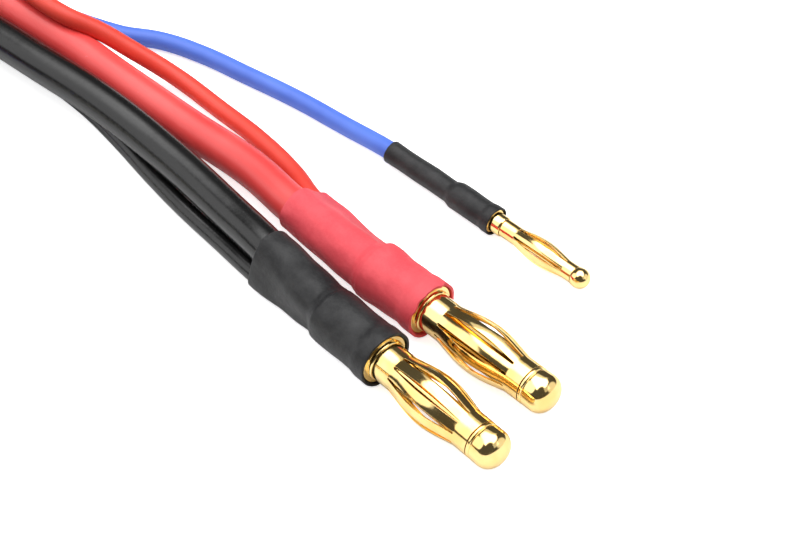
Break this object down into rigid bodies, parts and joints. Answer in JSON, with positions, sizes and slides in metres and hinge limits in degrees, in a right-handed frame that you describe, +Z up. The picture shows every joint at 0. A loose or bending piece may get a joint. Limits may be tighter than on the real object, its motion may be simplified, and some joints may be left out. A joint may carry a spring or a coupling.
{
  "type": "battery lead connector",
  "caption": "Charge and balance lead: slotted barrel-spring bullet plugs and a slim balance pin in heat-shrink, on coloured silicone wires that run to plugs at a coiled charger end.",
  "frame": {"origin": "on the table, under the middle of the box round the three gold plugs and their heat-shrink", "axes": "+X along the red plug towards its tip, +Y across the plugs from the black plug to the balance pin, +Z up from the table"},
  "size_m": [0.1296, 0.0701, 0.009],
  "materials": {
    "gold": "polished gold plate",
    "solder": "satin tin",
    "copper": "bare stranded copper",
    "black_shrink": "matte",
    "red_shrink": "matte",
    "black_silicone": "satin",
    "red_silicone": "satin",
    "thin_red_silicone": "satin",
    "blue_silicone": "satin",
    "black_shell": "gloss",
    "red_shell": "gloss",
    "white_nylon": "satin",
    "tinned_contact": "bright tin"
  },
  "bodies": {
    "root": {"black_pin_body": "gold", "black_spring_cage": "gold", "black_solder": "solder", "black_wire_cores": "copper", "black_heat_shrink": "black_shrink", "red_pin_body": "gold", "red_spring_cage": "gold", "red_solder": "solder", "red_wire_cores": "copper", "red_heat_shrink": "red_shrink", "balance_pin_body": "gold", "balance_spring_cage": "gold", "balance_solder": "solder", "balance_wire_core": "copper", "balance_heat_shrink": "black_shrink", "black_power_wire": "black_silicone", "red_power_wire": "red_silicone", "black_balance_wire": "black_silicone", "red_balance_wire": "thin_red_silicone", "blue_balance_wire": "blue_silicone", "bundle_sleeve": "black_shrink", "lead_coil": "black_silicone", "black_power_tail": "black_silicone", "red_power_tail": "red_silicone", "black_balance_tail": "black_silicone", "red_balance_tail": "thin_red_silicone", "blue_balance_tail": "blue_silicone", "black_charger_shell": "black_shell", "black_charger_pin": "gold", "black_charger_cage": "gold", "black_charger_solder": "solder", "red_charger_shell": "red_shell", "red_charger_pin": "gold", "red_charger_cage": "gold", "red_charger_solder": "solder", "balance_plug_housing": "white_nylon", "balance_plug_contacts": "tinned_contact"}
  },
  "joints": []
}
